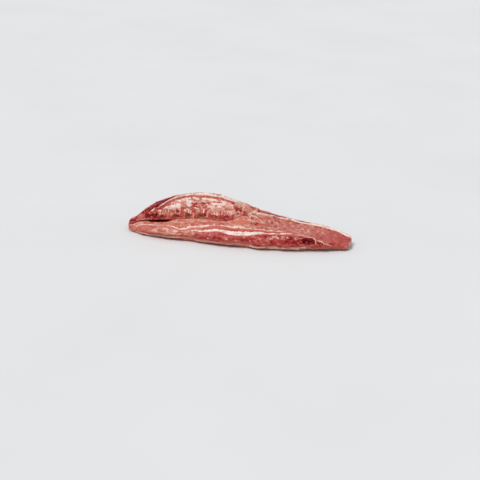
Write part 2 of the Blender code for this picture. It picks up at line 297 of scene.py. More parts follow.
def relief(points, way, station):
    """How far each point stands out from the smooth rack, [station, way]."""
    free = ramp(way, 6, 6.9) * fall(way, 15.5, 16) * off_base(way)
    along = station[:, None]
    x = points[..., 0]
    ends = band(along, 0.05, 0.95, 0.05)
    thick = ramp(along, 0, 0.12) * fall(along, 0.5, 0.62)
    uneven = lumps(points, LUMP_SIZE) + 0.5 * lumps(points, LUMP_SIZE * 0.4, NOISE_SHIFT)
    height = LUMP_HEIGHT * uneven * free * ends
    # Meat swells between the rib ends, on the sawn face and less on the back.
    swell = -np.cos(2 * math.pi * (x - RIB_FIRST_X) / RIB_PITCH)
    height += RIB_SWELL * swell * thick * free * (bump(way, 15.6, 0.25) + 0.5 * bump(way, 14, 0.8))
    # Two seams of fat run along the flap as low ridges, with a groove between them.
    seams = bump(way, 7.25, 0.12) + bump(way, 7.85, 0.12) - 0.6 * bump(way, 7.55, 0.12)
    height += SEAM_HEIGHT * seams * ramp(along, 0.12, 0.25) * fall(along, 0.72, 0.85)
    # A pocket under a torn membrane at the flap's edge.
    height -= POCKET_DEPTH * bump(x, POCKET_X, 0.012) * bump(way, 8.25, 0.28)
    # A loose strip of lean on the back, beside the face's top edge at the left end.
    height += STRIP_HEIGHT * bump(way, 14.75, 0.16) * ramp(along, 0.03, 0.08) * fall(along, 0.2, 0.27)
    return height


def normals(points):
    """The outward direction at each point of a grid of sections."""
    along = np.gradient(points, axis=0)
    around = (np.roll(points, -1, axis=1) - np.roll(points, 1, axis=1)) / 2
    return unit(np.cross(around, along))


# --- What shows on the surface ---

# Tones, from deep red lean to bright fat. The material turns them into colours.
DEEP, RED, LEAN, PINK, PALE, FAT, WHITE = 0.04, 0.22, 0.42, 0.56, 0.7, 0.84, 0.98

# Layers of the sawn face, as depths below its top edge or rises above its bottom edge.
RIM_LINE = milli(  # x, depth of the white rim's middle
    (-195, 11), (-166, 11), (-154, 9), (-141, 5), (-126, 3.2), (-100, 2.4), (-30, 2.4), (10, 3),
)
RIM_HALF = milli((-195, 0.7), (-150, 1.1), (-90, 2), (-30, 2.6), (10, 3))
RED_LINE_BELOW = 0.005  # from the rim's middle
RED_LINE_HALF = 0.0014
RIB_LEAN_RISE = 0.018  # the lean between the ribs, from the face's bottom edge
MARK_RISE = 0.0135  # white seams that stand above the rib ends
MARK_HALF_RISE = 0.0035
MARK_HALF_WIDTH = 0.0009
# How far the ragged lean outside the rim reaches over to the back: x, reach.
STRIP_REACH = milli((-215, 1), (-185, 6), (-160, 9), (-135, 5), (-110, 0))

# Strokes on the sawn face: from x, z to x, z, half width, tone.
FACE_STROKES = milli(
    (-136, 53.5, -121, 56.5, 4.5, WHITE), (-108, 50, -97, 49.2, 2.6, WHITE),
    (-110, 70.5, -99, 72, 1.8, WHITE), (-94, 73.8, -84, 72.8, 2, WHITE),
    (-75, 74.2, -50, 72.5, 2.2, WHITE), (-52, 65.5, -29, 67.5, 2.2, WHITE), (-24, 64, -17, 63.5, 3, FAT),
    (-19, 53, -10, 54.5, 2.8, FAT), (-62, 60, -48, 59, 2.2, FAT), (-95, 63.5, -86, 64.2, 1.9, RED),
    (-77, 66, -70, 65, 1.4, RED), (-124, 46.5, -121, 45.5, 3, RED), (-93, 55.5, -89, 47, 3.8, LEAN),
    (-74.5, 52, -74.8, 48, 1.8, RED), (-64.5, 52.5, -65, 49, 1.8, RED),
    (-69.5, 54.5, -70.2, 47, 1.3, WHITE), (-42, 43.5, -13, 42.5, 4.8, RED + 0.04),
    (-8.5, 64.3, 3, 56, 2.4, RED), (-200, 30, -190, 32.5, 3, PINK), (-186, 35, -166, 32.8, 4, DEEP),
    (-168, 45, -140, 60.5, 3, RED + 0.1), (-52, 69.5, -36, 69.7, 1.1, LEAN),
    (-6, 69, 16, 57, 4, PALE + 0.06),
    toned=True,
)

# Fat seams along the flap: x, y.
SEAM_1 = milli(
    (-190, -60), (-110, -71), (-73, -67), (-57, -62.5), (-29, -56), (-4, -59), (14, -54.5), (31, -54),
    (52, -47), (84, -39), (110, -34),
)
SEAM_1_BRANCH = milli((-30, -53.5), (0, -49.5), (30, -45.5), (50, -36), (84, -25))
SEAM_2 = milli(
    (-120, -76.5), (-14, -73.5), (11, -72), (34, -69), (62, -59), (81, -53), (101, -46.5), (125, -40),
    (150, -34),
)
SEAM_1_HALF = milli((-120, 0.6), (-70, 2.2), (-30, 1.8), (20, 1.4), (60, 1.2), (100, 0.5))
SEAM_2_HALF = milli(
    (-100, 0.7), (-40, 1.2), (-10, 2.2), (20, 2.9), (60, 3.6), (90, 3), (115, 1.1), (140, 0.3),
)
# The cream rim that runs on from the sawn face along the thin end's back edge: x, y, z.
FAR_RIM = milli(
    (24, -1, 53), (32.9, 3, 48.3), (37.8, 6.1, 47.8), (52, 11.7, 44.1), (65.5, 20.3, 40.3),
    (76, 25.2, 36.7), (89.9, 30.5, 35), (103.3, 29.5, 32.6), (121.2, 30, 30), (145.3, 30.5, 28.7),
    (162.7, 29.9, 27.3), (178.8, 28.3, 25.7), (189.2, 27.7, 24), (199.9, 23.8, 22), (210.7, 19.6, 19.3),
    (218, 17.6, 17.2),
)
FAR_RIM_HALF = milli(
    (24, 1), (36, 2.2), (58, 2.3), (64.5, 0.7), (70, 0.9), (76, 2.2), (88, 2.1), (94, 0.8), (101, 2.1),
    (125, 2.2), (148, 2.5), (180, 2.6), (214, 2.4),
)

# Patches in space: x, y, z, radius, tone.
PATCHES = milli(
    (27, 1.4, 51.2, 5.2, WHITE - 0.06), (33, 3, 48.5, 3.6, WHITE - 0.04), (30, -1, 48, 2.2, PINK),
    (12, 0, 60.5, 5.6, PALE - 0.02), (18.5, 0, 56, 4.6, PALE), (-6, -8.8, 63, 2.6, RED - 0.02),
    (1, -8.8, 59, 3, RED - 0.04), (9, -8.6, 53, 2.8, RED - 0.08), (14, -8.6, 49.5, 2.2, RED - 0.04),
    (19.5, -6, 49, 3.4, FAT + 0.06), (20.5, -8.2, 47, 3.6, FAT + 0.08),
    (20.7, -11.5, 45.2, 2.4, FAT + 0.06), (21.2, -15, 43.2, 2.2, FAT + 0.04),
    (22.4, -19.2, 41.8, 2.4, FAT + 0.02), (14, -10, 46, 1.8, PALE + 0.04), (10, -11.5, 45.8, 1.6, PALE),
    (8, -36, 39.7, 7.8, PINK - 0.04), (16.6, -35, 39.5, 6.4, PINK - 0.06),
    (27, -15, 42.4, 3.6, RED + 0.06), (33, -14, 41.5, 3, RED + 0.1),
    (36.8, -32.1, 37.7, 4.4, RED - 0.06), (41.4, -27.9, 38.2, 3.6, RED), (29, -33, 38.5, 3.4, RED + 0.06),
    (23.9, -23.6, 41.1, 3, FAT), (30.9, -26.5, 39.8, 2.8, FAT + 0.02), (50, -21.4, 38.5, 4.2, FAT + 0.06),
    (42, -15, 40.8, 3, PALE + 0.04), (46, -8, 41.5, 2.8, LEAN - 0.04),
    (-183.5, -38.1, 34.5, 5, DEEP + 0.06), (-176.5, -38.1, 33.5, 5.4, DEEP + 0.05),
    (-169, -38, 30.5, 4.4, DEEP + 0.1), (-162, -37.4, 29, 4.4, DEEP + 0.12),
    (-155, -37, 30, 3.4, RED - 0.04), (-172.7, -38.3, 30, 1.6, PALE), (-30.5, -31.4, 44, 4.6, RED),
    (-21.5, -32.2, 42.5, 5, RED - 0.02), (-13, -30.5, 43.5, 3.6, RED + 0.02), (-165, -44, 27, 4, DEEP),
    (-176.6, -33.3, 48.2, 3.6, DEEP), (-182.4, -34.6, 43.3, 3, DEEP + 0.04),
    (79.4, -65.6, 29.1, 3, FAT + 0.04), (84.1, -62.8, 30.1, 2.4, FAT), (87.8, -66.9, 26.4, 3, FAT + 0.08),
    (97.2, -61.6, 29.9, 2.6, PALE), (86, -69, 23.5, 4.4, RED + 0.02), (94, -68.5, 23, 5, RED - 0.02),
    (102, -66.8, 22.5, 5.4, RED - 0.05), (111.6, -64.7, 22, 5.6, RED - 0.06),
    (121.6, -61.4, 22, 5.8, RED - 0.08), (129, -57, 21.5, 5.4, RED - 0.08),
    (138, -50, 22.5, 6.8, DEEP + 0.05), (143, -46.5, 21.5, 8, DEEP + 0.03),
    (150, -43.5, 21, 8, DEEP + 0.02), (156, -41, 21, 6.2, DEEP + 0.03),
    (165.6, -42.5, 17.8, 4.8, DEEP + 0.06), (174.6, -41, 15.5, 4.2, DEEP + 0.08),
    (181, -39, 13.5, 3, RED - 0.06),
    toned=True,
)
# Fat of a warmer, orange hue: x, y, z, radius.
WARM = milli(
    (12, 0, 60.5, 8), (19.5, 0, 56, 6), (6, -35, 40, 12), (16.6, -33.6, 39.8, 9), (29, -15, 42, 5),
    (53.3, -8.6, 39.3, 5), (86.2, -13.9, 31.4, 5),
)


def over(below, value, mask):
    """The value laid over what is below, as far as the mask says."""
    return below + (value - below) * mask


def layered(value, *layers):
    """The value under layers of (value, mask), each laid over those before it."""
    for layer, mask in layers:
        value = over(value, layer, mask)
    return value


def stroke(x, z, ends, half_width):
    """Distance from a straight stroke between its two ends, in half widths."""
    x0, z0, x1, z1 = ends
    along = np.array([x1 - x0, z1 - z0])
    share = np.clip(((x - x0) * along[0] + (z - z0) * along[1]) / (along @ along), 0, 1)
    return np.hypot(x - x0 - share * along[0], z - z0 - share * along[1]) / half_width


def shut_slit(points, way):
    """The grid with its slit drawn flat where the fold has opened and the rack is a single flap."""
    roof, floor = (int((way == guide).argmax()) for guide in (0, 6))
    inside = slice(roof, floor + 1)
    share = (way[inside] / 6)[:, None]
    flat = points[:, roof, None] * (1 - share) + points[:, floor, None] * share
    shut = ramp(points[:, roof, 0], SLIT_SHUTS - 0.012, SLIT_SHUTS)[:, None, None]
    points = points.copy()
    points[:, inside] = over(points[:, inside], flat, shut)
    return points


class Surface:
    """The grid of the rack's surface, with each point's place in the layout."""

    def __init__(self):
        station = np.linspace(END_RADIUS / LENGTH, 1 - END_RADIUS / LENGTH, STATIONS)
        points, way = cross_sections(station)
        self.points = points
        self.stand_out(relief(points, way, station))
        self.points = shut_slit(self.points, way)
        self.x, self.y, self.z = (self.points[..., i] for i in range(3))
        self.way = np.broadcast_to(way, self.x.shape)
        guides = guide_points(station)
        height = length(guides[15] - guides[0])
        share = self.way - 15
        self.on_face = share >= 0
        self.depth = share * np.where(self.on_face, height, length(guides[15] - guides[14]))
        self.rise = np.where(self.way < 1, -self.way * 0.02, (1 - share) * height)
        # 1 where the sawn face stands tall, 0 where it has thinned to the flap's back rim.
        self.thick = fall(self.x, 0.024, 0.05)
        self.sawn = self.on_face * self.thick
        # 1 on the flap, which takes in the shut slit.
        self.flap = ramp(self.way, 5.6, 6.1) * fall(self.way, 8.9, 9.3)
        shut = ramp(self.x, SLIT_SHUTS - 0.016, SLIT_SHUTS - 0.006)
        self.flap = np.maximum(self.flap, shut * (self.way < 6.2))

    def stand_out(self, height):
        """Moves each point outward by its height, but none below z = 0."""
        self.points = self.points + normals(self.points) * height[..., None]
        self.points[..., 2] = np.maximum(self.points[..., 2], 0)

    def grain(self, size, seed, octaves=3):
        return grain(self.points, size, seed, octaves)

    def warped(self, size, amount, seed):
        """The points, moved unevenly by smooth noise, with both its size and its amount in mm."""
        moves = [self.grain(size, seed + i, 2) for i in range(3)]
        return self.points + np.stack(moves, -1) * amount / 1000


def cells(points, size, seed):
    """Cells of a size (x, y, z) in mm: distances from a cell's edge and middle, and its own number."""
    shift = Vector((seed * 2.3, seed * 1.1, seed * 1.9))
    found = []
    for place in (points * 1000 / np.array(size)).reshape(-1, 3):
        (near, second, *_), (centre, *_) = noise.voronoi(Vector(place) + shift)
        found.append((second - near, near, noise.noise(centre * 5.3)))
    return np.array(found).T.reshape(3, *points.shape[:-1])


def rib_places():
    """Each rib end's x, y and z on the sawn face, the face's upward direction and the rib's size there."""
    places = []
    for i in range(RIB_COUNT):
        x = RIB_FIRST_X + RIB_PITCH * i
        station = np.array([x / LENGTH + 0.5])
        guides = guide_points(station)[:, 0]
        up = unit(guides[15] - guides[0])
        y, z = guides[0] + up * BONE_RISE
        slim = min(1, 0.55 + smooth(SLIT_DEPTH, station)[0] * RIB_REACH / 0.1)
        places.append((x, y, z, up, slim))
    return places


def near_ribs(s):
    """For each point of the sawn face, the distance from the nearest rib's middle in rib half sizes."""
    far = 99.0
    nearest = np.full(s.x.shape, far)
    for x, _, _, _, slim in rib_places():
        across = (s.x - x) / (BONE_HALF_WIDTH * slim)
        upward = (s.rise - BONE_RISE) / (RIB_HALF_HEIGHT * slim)
        nearest = np.minimum(nearest, np.hypot(across, upward))
    return np.where(s.on_face, nearest, far)


def paint_face(s, tone):
    """The layers of the sawn face: fat rim, red line, mottled fat and lean, lean between the ribs."""
    wave = s.grain(30, 1)
    mottle = s.grain((12, 6, 4.5), 2, 4)
    upright = s.grain((3.2, 12, 16), 3)
    edge, near, own = cells(s.warped(12, 3, 31), (9.5, 6, 4.2), 4)
    low = fall(s.rise + 0.004 * mottle, RIB_LEAN_RISE - 0.003, RIB_LEAN_RISE + 0.004)
    half = smooth(RIM_HALF, s.x) * (1 + 0.5 * mottle)
    off = s.depth - smooth(RIM_LINE, s.x) - 0.0009 * wave
    start = ramp(s.x + 0.004 * mottle, -0.187, -0.176)
    outside = np.maximum(fall(off, -half - 0.0008, -half), fall(off, 0, 0.004) * (1 - start))
    red = band(off, RED_LINE_BELOW - RED_LINE_HALF, RED_LINE_BELOW + RED_LINE_HALF, 0.001)
    value = layered(
        PALE - 0.06 + 0.75 * own + 0.2 * mottle,
        (PALE + 0.1, 0.4 * fall(edge, 0.05, 0.15)),
        (RED + 0.04, 0.8 * (own < -0.24) * fall(near, 0.3, 0.55)),
        (LEAN + 0.1 + 0.4 * upright + 0.22 * own, 0.85 * low),
        (RED - 0.06 + 0.45 * mottle + 0.2 * upright, outside),
        (LEAN - 0.02 + 0.14 * mottle, 0.9 * red * fall(s.x, -0.012, 0.004)),
        (PALE + 0.04, 0.7 * start * band(off, 0, RED_LINE_BELOW - 0.003, 0.001)),
        (WHITE - 0.02 + 0.2 * mottle, start * band(off, -half, half, 0.0006)),
    )
    x, z = s.x + 0.0012 * wave, s.z + 0.0008 * wave
    for *ends, half_width, patch in FACE_STROKES:
        reach = stroke(x, z, ends, half_width) + 0.7 * mottle + 0.5 * upright
        value = over(value, patch + 0.12 * mottle + 0.1 * upright, 0.92 * fall(reach, 0.6, 1.3))
    tall = bump(s.rise, MARK_RISE, MARK_HALF_RISE)
    for rib_x, *_ in rib_places():
        side = np.abs(s.x - rib_x - 0.0012 * wave)
        value = over(value, RED + 0.02, 0.6 * tall * band(side, 0.0016, 0.003, 0.0008))
        value = over(value, WHITE - 0.06, 0.65 * tall * fall(side, MARK_HALF_WIDTH, 0.0018))
    around = RED + 0.1 + 0.3 * mottle + 0.15 * upright
    value = over(value, around, 0.75 * fall(near_ribs(s) + 0.6 * mottle, 1.1, 1.8))
    value = over(value, LEAN, 0.6 * fall(s.rise, 0.0006, 0.0026))
    return over(tone, value, s.sawn)


def paint_flap(s, tone):
    """The flap: pink lean under a film, with two seams of fat, and flecks towards the thin end."""
    fine = s.grain((8, 9, 6), 5, 4)
    broad = s.grain((60, 30, 30), 6, 2)
    streaks = s.grain((30, 4, 4), 8)
    edge, near, own = cells(s.warped(10, 3, 34), (7, 10, 6), 7)
    thin = ramp(s.x + 0.02 * broad, 0.02, 0.065)
    opening = fall(s.x, 0.08, 0.12)
    on_top = fall(s.way, 8.15, 8.35)
    seam_1, branch, seam_2 = (smooth(seam, s.x) + 0.0014 * fine for seam in (SEAM_1, SEAM_1_BRANCH, SEAM_2))
    half_1 = smooth(SEAM_1_HALF, s.x) * (1 + 0.6 * broad + 0.6 * fine)
    half_2 = smooth(SEAM_2_HALF, s.x) * (1 + 0.3 * broad + 0.5 * fine)
    line_1 = fall(np.abs(s.y - seam_1), half_1, half_1 + 0.0007) * fall(s.x, 0.085, 0.105)
    line_b = fall(np.abs(s.y - branch), 0.0007, 0.0016) * ramp(s.x, -0.028, -0.01) * fall(s.x, 0.05, 0.1)
    line_2 = fall(np.abs(s.y - seam_2), half_2, half_2 + 0.0009) * band(s.x, -0.1, 0.13, 0.02)
    groove = band(s.y, seam_2 + 0.003, seam_1 - 0.002, 0.002) * opening
    groove_line = band(s.y, seam_2 + 0.005, seam_2 + 0.0085, 0.0015) * opening * ramp(s.x, -0.03, 0.0)
    front = fall(s.y, seam_2 - 0.0035, seam_2 - 0.001) * band(s.x + 0.02 * broad, -0.085, 0.15, 0.04)
    speckled = RED + 0.1 + 0.24 * fine + 0.16 * streaks
    lobe = ramp(s.x + 0.006 * broad + 0.1 * (s.y - 0.005), 0.162, 0.188)
    value = layered(
        over(PINK + 0.08, PINK - 0.07, thin) + 0.2 * fine + 0.07 * broad + over(0.12, 0.04, thin) * streaks,
        (PALE + 0.08, (0.25 + 0.55 * thin) * (own > 0.06) * fall(near, 0.25, 0.55)),
        (LEAN - 0.1, (0.35 + 0.35 * thin) * (own < -0.14) * fall(near, 0.25, 0.55)),
        (PALE + 0.03, 0.5 * thin * fall(edge, 0.04, 0.14) * ramp(fine, -0.1, 0.2)),
        (LEAN + 0.04 + 0.1 * fine, 0.8 * groove),
        (RED + 0.04, 0.7 * groove_line),
        (over(speckled, FAT, 0.85 * (own > 0.1) * fall(near, 0.2, 0.42)), front),
        (FAT + 0.08 + 0.2 * fine, line_1 * on_top),
        (FAT - 0.06, 0.6 * line_b * on_top),
        (WHITE - 0.03 + 0.2 * fine, line_2 * on_top),
        (LEAN - 0.03 + 0.2 * fine + 0.12 * broad, lobe),
    )
    return over(tone, value, s.flap)


def paint_front(s, tone):
    """The cut edge below the flap: layers of lean and fat that run lengthwise down to the underside."""
    uneven = s.grain((50, 12, 12), 17)
    streaks = s.grain((35, 3, 2.2), 18)
    _, near, own = cells(s.warped(10, 3, 40), (12, 4.5, 4), 19)
    layer = s.way + 0.2 * uneven
    value = layered(
        LEAN + 0.3 * streaks + 0.1 * uneven,
        (PALE + 0.06, 0.8 * (own > 0.1) * fall(near, 0.25, 0.5)),
        (RED, 0.6 * (own < -0.22) * fall(near, 0.25, 0.5)),
        (FAT + 0.04 + 0.3 * streaks, band(layer, 8.82, 8.95, 0.05) * ramp(uneven, -0.5, -0.1)),
        (RED + 0.08 + 0.3 * streaks, 0.8 * band(layer, 9.08, 9.26, 0.06)),
        (PALE + 0.06 + 0.35 * streaks, 0.9 * band(layer, 9.34, 9.7, 0.06)),
        (LEAN + 0.05 + 0.2 * streaks, ramp(layer, 9.78, 9.9)),
    )
    return over(tone, value, ramp(s.way, 8.45, 8.75) * fall(s.way, 11.9, 12.6) * fall(s.x, 0.15, 0.185))


def paint_back(s, tone):
    """The outer side: bundles of lean under thin fat, with a few seams and an uneven white cap."""
    broad = s.grain((90, 40, 40), 11)
    patchy = s.grain((30, 14, 14), 12, 4)
    slant = s.warped(30, 6, 37)
    slant[..., 1] += 0.45 * slant[..., 0]
    streaks = grain(slant, (45, 3, 4.5), 20)
    edge, _, own = cells(slant, (140, 19, 26), 13)
    value = layered(
        LEAN + 0.1 + 0.16 * own + 0.16 * streaks + 0.06 * patchy,
        (PALE - 0.02 + 0.12 * streaks, 0.75 * ramp(broad + 0.6 * patchy + 0.3 * own, -0.25, 0.35)),
        (FAT + 0.02 + 0.14 * streaks, 0.9 * ramp(broad + 0.7 * patchy + 0.25 * streaks, 0.22, 0.42)),
        (FAT + 0.06, 0.75 * fall(edge, 0.015, 0.06) * ramp(patchy + 0.4 * broad, -0.25, 0.05)),
    )
    return over(tone, value, ramp(s.way, 11.8, 12.6) * (1 - s.on_face))


def paint_rim(s, tone):
    """Where the rack is thin: the white rim along its back edge, with lean on both sides of it."""
    fine = s.grain((10, 5, 5), 14)
    behind = band(s.way, 14.35, 16.0, 0.25) * band(s.x, 0.02, 0.086, 0.01)
    strip = band(s.depth + 0.0015 * fine, -0.006, -0.0035, 0.0015) * band(s.x, 0.044, 0.088, 0.008)
    rim = np.stack([smooth(FAR_RIM, s.x, column) for column in (1, 2)], -1)
    off = length(s.points[..., 1:] - rim)[..., 0] / smooth(FAR_RIM_HALF, s.x) + 0.5 * fine
    return layered(
        tone,
        (LEAN + 0.08 + 0.25 * fine, (1 - s.thick) * s.on_face * fall(s.x, 0.06, 0.1)),
        (LEAN + 0.06 + 0.35 * fine, 0.9 * behind),
        (RED + 0.1 + 0.3 * fine, 0.8 * strip),
        (WHITE - 0.03 + 0.2 * fine, fall(off, 0.85, 1.25) * ramp(s.x, 0.018, 0.026)),
    )


def paint_strip(s, tone):
    """The ragged dark lean outside the rim, where it turns over to the back at the left end."""
    ragged = s.grain((10, 4, 4), 15, 4)
    lengthwise = s.grain((30, 2.2, 2.2), 27, 2)
    reach = smooth(STRIP_REACH, s.x) + 0.006 * ragged
    strip = fall(-s.depth, reach - 0.001, reach + 0.0022) * (1 - s.on_face)
    return over(tone, RED - 0.02 + 0.3 * ragged + 0.4 * lengthwise, strip * fall(s.x, -0.125, -0.11))


def paint_patches(s, tone):
    """Single patches of fat and lean where the two layers part and at the torn pocket, and painted shade in
    the slit's mouth at the left end.
    """
    uneven = s.grain((6, 5, 5), 24)
    for *place, radius, patch in PATCHES:
        reach = length((s.points - place) * [0.75, 1, 1])[..., 0] / radius + 0.7 * uneven
        tone = over(tone, patch + 0.1 * uneven, 0.9 * fall(reach, 0.75, 1.1))
    # Painted shade: deep red laid into the slit's mouth at the left end, where the face and the flap part.
    shade = ramp(s.way + 0.25 * uneven, 4.5, 5.6) * fall(s.way + 0.12 * uneven, 6.12, 6.42)
    return over(tone, DEEP + 0.06, shade * band(s.x + 0.006 * uneven, -0.168, -0.146, 0.018))


def paint(s):
    """The tone of every point of the surface."""
    inside = fall(s.way, 5.2, 6.0) * (s.way < 6)
    tone = over(LEAN + 0.05, RED + 0.12, inside)
    for layer in (paint_back, paint_front, paint_flap, paint_face, paint_rim, paint_strip, paint_patches):
        tone = layer(s, tone)
    return np.clip(tone, 0, 1)


def warmth(s):
    """How far the fat has an orange hue at each point."""
    value = np.zeros(s.x.shape)
    for *place, radius in WARM:
        value = np.maximum(value, fall(length(s.points - place)[..., 0] / radius, 0.4, 1.2))
    return np.clip(value * (0.75 + 0.9 * s.grain((5, 7, 5), 28)), 0, 1)


def fine_relief(s, tone):
    """Small forms that the solids leave out: raised fat, fibres, sockets of the ribs, the torn pocket."""
    raised = 0.0024 * (tone - PINK)
    fibres = s.grain((3, 10, 12), 21, 2)
    lengthwise = s.grain((25, 4, 4), 22, 2)
    uneven = s.grain((16, 12, 12), 23)
    overlap = s.grain(4.5, 29)
    ripple = 0.001 * uneven + over(0.00045 * lengthwise, 0.0005 * fibres, s.sawn)
    ring = near_ribs(s)
    socket = -0.0024 * fall(ring + 0.45 * overlap, 0.88, 1.04) + 0.0008 * bump(ring, 1.18, 0.3)
    outside = ramp(s.way, 6.0, 6.7) * fall(s.way, 15.93, 16)
    outside = np.maximum(outside, ramp(s.x, SLIT_SHUTS, SLIT_SHUTS + 0.01))
    pocket = -0.004 * bump(s.x, POCKET_X + 0.002, 0.015) * bump(s.way, 8.1, 0.3)
    tear = -0.0022 * band(s.x, 0.16, 0.178, 0.004) * bump(s.way, 8.15, 0.12)
    mouth = -0.0016 * band(s.x, -0.17, -0.142, 0.012) * band(s.way, 5.8, 6.15, 0.35)
    return (raised + ripple) * outside * off_base(s.way) + socket + pocket + tear + mouth


def marbling(s):
    """How strongly the material mottles each point: much on the sawn face, little under the film."""
    return layered(
        0.7,
        (over(0.85, 1.15, ramp(s.x, 0.02, 0.07)), s.flap),
        (0.7, s.flap * ramp(s.x, 0.164, 0.184)),
        (1.0, s.sawn),
    )


def round_ends(sections, values):
    """The sections and their values, with extra rings past both ends: a rounded edge and a flat cut."""
    ends = []
    for ring, side in ((sections[0], -1), (sections[-1], 1)):
        core = (ring.min(axis=0) + ring.max(axis=0)) / 2 * [1, 1, END_LEVEL]
        rings = []
        for step in range(1, END_RINGS + CAP_RINGS):
            angle = math.pi / 2 * min(1, step / END_RINGS)
            inward = min(1, 1 - (step - END_RINGS) / CAP_RINGS)
            narrow = (END_NARROW + (1 - END_NARROW) * math.cos(angle)) * inward
            flat = (END_FLATTEN + (1 - END_FLATTEN) * math.cos(angle)) * inward
            shrunk = core + (ring - core) * [1, narrow, flat]
            shrunk[:, 0] += side * END_RADIUS * math.sin(angle)
            rings.append(shrunk)
        ends.append(rings)
    left, right = ends
    extra = ((len(left), len(right)), (0, 0))
    values = {key: np.pad(value, extra, mode="edge") for key, value in values.items()}
    return np.concatenate([left[::-1], sections, right]), values


def paint_cuts(rings, tone):
    """The tone, with both ends painted as cuts across the rack: lean between layers of fat."""
    streaks = grain(rings, (20, 16, 3.5), 25, 4)
    uneven = grain(rings, 10, 26)
    cut = over(LEAN + 0.04 + 0.25 * streaks, FAT, 0.8 * ramp(streaks + 0.3 * uneven, 0.22, 0.32))
    at_end = np.abs(rings[..., 0]) + 0.0008 * uneven
    return over(tone, cut, ramp(at_end, LENGTH / 2 - 0.3 * END_RADIUS, LENGTH / 2 - 0.08 * END_RADIUS))


def fall_back(points):
    """The points, moved back near both ends so that the ends have round corners seen from above."""
    points = np.array(points)
    x, y = points[..., 0], points[..., 1]
    station = np.clip(x, END_RADIUS - LENGTH / 2, LENGTH / 2 - END_RADIUS) / LENGTH + 0.5
    front, back = smooth(NOSE, station), smooth(BACK, station)
    off_middle = np.clip((2 * y - front - back) / (back - front), -1, 1)
    near_end = fall(LENGTH / 2 - np.abs(x), 0, CORNER_REACH)
    points[..., 0] -= np.sign(x) * CORNER_DROP * off_middle**4 * near_end
    return points


def placed(name, data):
    """A new object of that data, in the scene."""
    made = bpy.data.objects.new(name, data)
    bpy.context.scene.collection.objects.link(made)
    return made


def loft(name, parts):
    """A mesh object of closed tubes. Each part is its rings of points and the values at them by name."""
    points, faces = [], []
    values = {key: [] for key in parts[0][1]}
    for rings, painted in parts:
        here = len(points) + np.arange(rings[..., 0].size).reshape(rings.shape[:2])
        beside = np.roll(here, -1, axis=1)
        points += rings.reshape(-1, 3).tolist()
        faces += np.stack([here[:-1], beside[:-1], beside[1:], here[1:]], -1).reshape(-1, 4).tolist()
        faces += [here[0, ::-1].tolist(), here[-1].tolist()]
        for key, value in painted.items():
            values[key].extend(np.ravel(value))
    data = bpy.data.meshes.new(name)
    data.from_pydata(points, [], faces)
    mesh = bmesh.new()
    mesh.from_mesh(data)
    bmesh.ops.recalc_face_normals(mesh, faces=mesh.faces)
    mesh.to_mesh(data)
    mesh.free()
    data.shade_smooth()
    for key, value in values.items():
        layer = data.attributes.new(key, "FLOAT", "POINT")
        layer.data.foreach_set("value", np.array(value, np.float32))
    return placed(name, data)


# --- Materials ---

# Colours of the tones: (tone, linear colour).
TONE_COLOURS = (
    (0.00, (0.1, 0.002, 0.004)), (0.12, (0.22, 0.008, 0.009)), (0.22, (0.335, 0.022, 0.021)),
    (0.32, (0.41, 0.042, 0.036)), (0.42, (0.436, 0.076, 0.056)), (0.56, (0.495, 0.143, 0.097)),
    (0.66, (0.56, 0.22, 0.157)), (0.75, (0.628, 0.315, 0.246)), (0.86, (0.705, 0.442, 0.38)),
    (1.00, (0.8, 0.655, 0.595)),
)
WARM_COLOUR = (0.66, 0.195, 0.115)
BONE_COLOURS = (
    (0.0, (0.055, 0.01, 0.005)), (0.4, (0.15, 0.038, 0.016)), (0.7, (0.25, 0.08, 0.036)),
    (1.0, (0.4, 0.2, 0.115)),
)
BLOOD_COLOURS = (
    (0.0, (0.12, 0.006, 0.008)), (0.5, (0.3, 0.032, 0.028)), (1.0, (0.5, 0.15, 0.12)),
)
FLOOR_COLOURS = ((0.3, (0.68, 0.68, 0.68)), (0.7, (0.71, 0.71, 0.71)))


